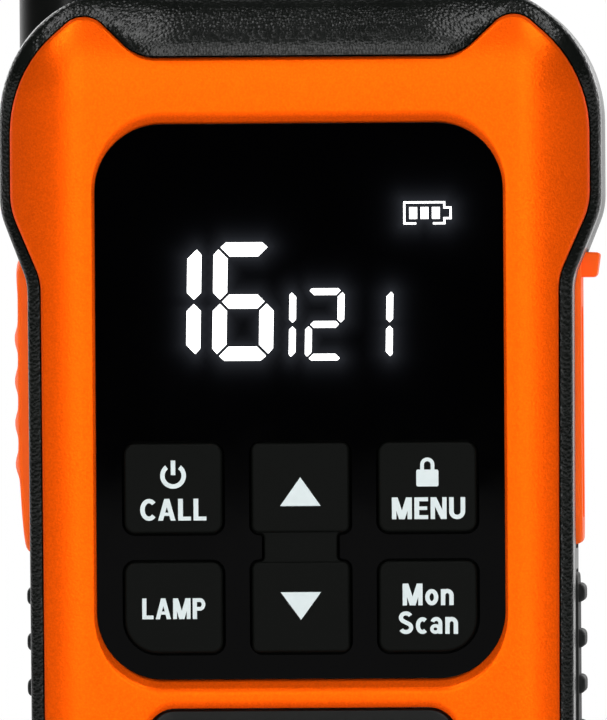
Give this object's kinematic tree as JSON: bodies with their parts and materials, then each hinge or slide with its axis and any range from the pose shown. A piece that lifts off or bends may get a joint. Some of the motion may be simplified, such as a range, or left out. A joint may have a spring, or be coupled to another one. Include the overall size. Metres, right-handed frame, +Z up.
{
  "type": "two way radio",
  "caption": "Handheld two way radio with a rugged orange and black sealed body, a display window with front keys, a side talk key, a speaker grille, a belt clip and a fixed stub antenna.",
  "frame": {"origin": "centre of the flat base that the radio stands on", "axes": "+Z up along the antenna, -Y out of the face with the display and keys, +X towards the side with the port cover"},
  "size_m": [0.061, 0.0387, 0.19],
  "materials": {
    "orange": "satin orange cover, fine grain",
    "signal_rubber": "red-orange silicone rubber",
    "black_shell": "charcoal textured shell",
    "black_gloss": "polished black window",
    "key_rubber": "matte black key caps",
    "grip_rubber": "black overmoulded rubber",
    "board": "green circuit board",
    "steel": "plain steel",
    "brass": "plain brass",
    "dark_resin": "dark moulded resin",
    "clear": "clear lens",
    "mirror": "mirror coating",
    "amber": "amber film and LED phosphor",
    "battery_wrap": "blue wrapped aluminium can",
    "seal_rubber": "grey silicone seal",
    "cone_paper": "black cone and mesh"
  },
  "bodies": {
    "radio": {"front_housing": "black_shell", "front_cover": "orange", "display_panel": "black_gloss", "speaker_grille": "black_shell", "speaker_mesh": "cone_paper", "speaker_frame": "steel", "speaker_cone": "cone_paper", "speaker_magnet": "steel", "microphone": "brass", "microphone_boot": "seal_rubber", "keypad_mat": "key_rubber", "dome_sheet": "amber", "display_module": "dark_resin", "front_board": "board", "board_link": "dark_resin", "main_board": "board", "shield_can": "steel", "radio_chip": "dark_resin", "crystal": "steel", "ptt_board": "board", "ptt_switch": "dark_resin", "port_board": "board", "audio_jack": "dark_resin", "usb_socket": "steel", "rear_housing": "black_shell", "housing_seal": "seal_rubber", "left_grip": "grip_rubber", "right_grip": "grip_rubber", "housing_screw_1": "steel", "housing_screw_2": "steel", "housing_screw_3": "steel", "housing_screw_4": "steel", "battery_pack": "battery_wrap", "battery_contact_left": "brass", "battery_contact_right": "brass", "clip_mount": "black_shell", "clip_screw_left": "steel", "clip_screw_right": "steel", "clip_pin": "steel", "clip_spring": "steel", "antenna_sheath": "black_shell", "antenna_coil": "brass", "antenna_ferrule": "brass", "lamp_lens": "clear", "lamp_reflector": "mirror", "lamp_led": "amber", "lamp_board": "board"},
    "call_key": {"call_key": "key_rubber"},
    "menu_key": {"menu_key": "key_rubber"},
    "lamp_key": {"lamp_key": "key_rubber"},
    "scan_key": {"scan_key": "key_rubber"},
    "channel_rocker": {"channel_rocker": "key_rubber"},
    "ptt_key": {"ptt_key": "signal_rubber", "ptt_plunger": "dark_resin"},
    "jack_cover": {"jack_cover": "signal_rubber"},
    "belt_clip": {"belt_clip": "black_shell"},
    "battery_door": {"battery_door": "black_shell", "door_seal": "seal_rubber"},
    "door_lock": {"door_lock": "steel"}
  },
  "joints": [
    {"name": "call_press", "type": "slide", "parent": "radio", "child": "call_key", "axis": [0, 1, 0], "range_m": [0, 0.0007], "stiffness_N_per_m": 300},
    {"name": "menu_press", "type": "slide", "parent": "radio", "child": "menu_key", "axis": [0, 1, 0], "range_m": [0, 0.0007], "stiffness_N_per_m": 300},
    {"name": "lamp_press", "type": "slide", "parent": "radio", "child": "lamp_key", "axis": [0, 1, 0], "range_m": [0, 0.0007], "stiffness_N_per_m": 300},
    {"name": "scan_press", "type": "slide", "parent": "radio", "child": "scan_key", "axis": [0, 1, 0], "range_m": [0, 0.0007], "stiffness_N_per_m": 300},
    {"name": "channel_rocker_tilt", "type": "hinge", "parent": "radio", "child": "channel_rocker", "pos_m": [0, -0.01325, 0.0611], "axis": [1, 0, 0], "range_deg": [-3, 3], "stiffness_Nm_per_rad": 0.03},
    {"name": "ptt_press", "type": "slide", "parent": "radio", "child": "ptt_key", "axis": [1, 0, 0], "range_m": [0, 0.001], "stiffness_N_per_m": 400},
    {"name": "jack_cover_open", "type": "hinge", "parent": "radio", "child": "jack_cover", "pos_m": [0.02755, 0.002, 0.0618], "axis": [0, 1, 0], "range_deg": [0, 100]},
    {"name": "belt_clip_swing", "type": "hinge", "parent": "radio", "child": "belt_clip", "pos_m": [0, 0.0189, 0.098], "axis": [1, 0, 0], "range_deg": [0, 18], "stiffness_Nm_per_rad": 0.3, "deforming": ["clip_spring"]},
    {"name": "battery_door_lift", "type": "slide", "parent": "radio", "child": "battery_door", "axis": [0, 1, 0], "range_m": [0, 0.016]},
    {"name": "door_lock_turn", "type": "hinge", "parent": "battery_door", "child": "door_lock", "pos_m": [0, 0.013, 0.0102], "axis": [0, 1, 0], "range_deg": [0, 90]}
  ]
}
